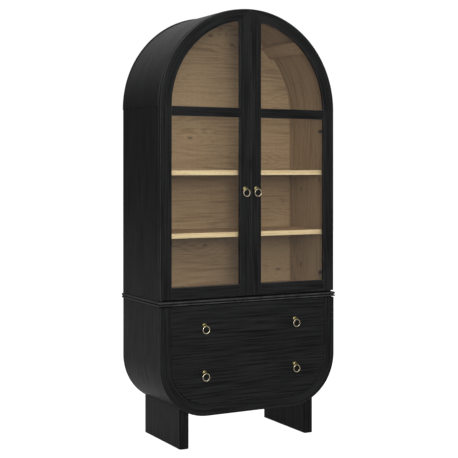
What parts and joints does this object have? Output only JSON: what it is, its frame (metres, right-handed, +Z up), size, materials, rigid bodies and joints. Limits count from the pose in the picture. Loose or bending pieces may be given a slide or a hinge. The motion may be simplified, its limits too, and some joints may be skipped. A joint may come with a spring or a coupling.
{
  "type": "curio cabinet",
  "caption": "Tall display cabinet with an arched top, glazed hinged doors with ring pulls, shelves, and a round-cornered case with a deep drawer on slab legs.",
  "frame": {"origin": "on the floor under the middle of the overall width and depth", "axes": "+Z up, +X to the right seen from the front, -Y out of the front"},
  "size_m": [0.928, 0.4486, 2.0055],
  "materials": {
    "black_oak": "satin black stain over open oak grain",
    "natural_oak": "matt lacquer on oak veneer",
    "pale_oak": "matt lacquer on oak veneer",
    "clear_glass": "clear, polished",
    "antique_brass": "antique, satin",
    "dark_steel": "black nickel plate",
    "zinc_steel": "bright zinc plate",
    "nylon": "moulded"
  },
  "bodies": {
    "cabinet": {"left_side_panel": "black_oak", "right_side_panel": "black_oak", "arch_shell": "black_oak", "left_side_lining": "natural_oak", "right_side_lining": "natural_oak", "arch_lining": "natural_oak", "upper_back_panel": "natural_oak", "back_rails": "natural_oak", "upper_deck": "natural_oak", "left_ceiling_batten": "natural_oak", "right_ceiling_batten": "natural_oak", "lower_shelf": "pale_oak", "upper_shelf": "pale_oak", "shelf_pins": "zinc_steel", "spacer_board": "black_oak", "waist_board": "black_oak", "lower_shell": "black_oak", "front_band": "black_oak", "lower_back_panel": "natural_oak", "left_upright": "natural_oak", "right_upright": "natural_oak", "left_leg": "black_oak", "right_leg": "black_oak", "foot_glides": "nylon", "leg_bolts": "zinc_steel", "wall_bracket": "zinc_steel", "hinge_arms": "dark_steel", "slide_rails": "zinc_steel"},
    "left_door": {"left_outer_stile": "black_oak", "left_arch_rail": "black_oak", "left_meeting_stile": "black_oak", "left_bottom_rail": "black_oak", "left_muntin": "black_oak", "left_glass": "clear_glass", "left_glass_bead": "black_oak", "left_hinge_cups": "dark_steel", "left_pull_post": "antique_brass"},
    "right_door": {"right_outer_stile": "black_oak", "right_arch_rail": "black_oak", "right_meeting_stile": "black_oak", "right_bottom_rail": "black_oak", "right_muntin": "black_oak", "right_glass": "clear_glass", "right_glass_bead": "black_oak", "right_hinge_cups": "dark_steel", "right_pull_post": "antique_brass"},
    "drawer": {"drawer_front": "black_oak", "drawer_left_side": "pale_oak", "drawer_right_side": "pale_oak", "drawer_back": "pale_oak", "drawer_bottom": "pale_oak", "drawer_pull_posts": "antique_brass", "slide_runners": "zinc_steel"},
    "middle_slides": {"slide_middles": "zinc_steel"},
    "left_pull_ring": {"left_pull_ring": "antique_brass"},
    "right_pull_ring": {"right_pull_ring": "antique_brass"},
    "upper_left_drawer_ring": {"upper_left_drawer_ring": "antique_brass"},
    "upper_right_drawer_ring": {"upper_right_drawer_ring": "antique_brass"},
    "lower_left_drawer_ring": {"lower_left_drawer_ring": "antique_brass"},
    "lower_right_drawer_ring": {"lower_right_drawer_ring": "antique_brass"}
  },
  "joints": [
    {"name": "left_door_hinge", "type": "hinge", "parent": "cabinet", "child": "left_door", "pos_m": [-0.451, -0.19475, 1.1], "axis": [0, 0, -1], "range_deg": [0, 105]},
    {"name": "right_door_hinge", "type": "hinge", "parent": "cabinet", "child": "right_door", "pos_m": [0.451, -0.19475, 1.1], "axis": [0, 0, 1], "range_deg": [0, 105]},
    {"name": "drawer_slide", "type": "slide", "parent": "cabinet", "child": "drawer", "axis": [0, -1, 0], "range_m": [0, 0.33]},
    {"name": "middle_slide", "type": "slide", "parent": "cabinet", "child": "middle_slides", "axis": [0, -1, 0], "range_m": [0, 0.165]},
    {"name": "left_pull_ring_swing", "type": "hinge", "parent": "left_door", "child": "left_pull_ring", "pos_m": [-0.0297, -0.21875, 1.1675], "axis": [-1, 0, 0], "range_deg": [-26, 90]},
    {"name": "right_pull_ring_swing", "type": "hinge", "parent": "right_door", "child": "right_pull_ring", "pos_m": [0.0297, -0.21875, 1.1675], "axis": [-1, 0, 0], "range_deg": [-26, 90]},
    {"name": "upper_left_drawer_ring_swing", "type": "hinge", "parent": "drawer", "child": "upper_left_drawer_ring", "pos_m": [-0.239, -0.21875, 0.5525], "axis": [-1, 0, 0], "range_deg": [-26, 90]},
    {"name": "upper_right_drawer_ring_swing", "type": "hinge", "parent": "drawer", "child": "upper_right_drawer_ring", "pos_m": [0.239, -0.21875, 0.5525], "axis": [-1, 0, 0], "range_deg": [-26, 90]},
    {"name": "lower_left_drawer_ring_swing", "type": "hinge", "parent": "drawer", "child": "lower_left_drawer_ring", "pos_m": [-0.239, -0.21875, 0.3395], "axis": [-1, 0, 0], "range_deg": [-26, 90]},
    {"name": "lower_right_drawer_ring_swing", "type": "hinge", "parent": "drawer", "child": "lower_right_drawer_ring", "pos_m": [0.239, -0.21875, 0.3395], "axis": [-1, 0, 0], "range_deg": [-26, 90]}
  ],
  "couplings": [
    {"joint": "middle_slide", "follows": "drawer_slide", "ratio": 0.5}
  ]
}
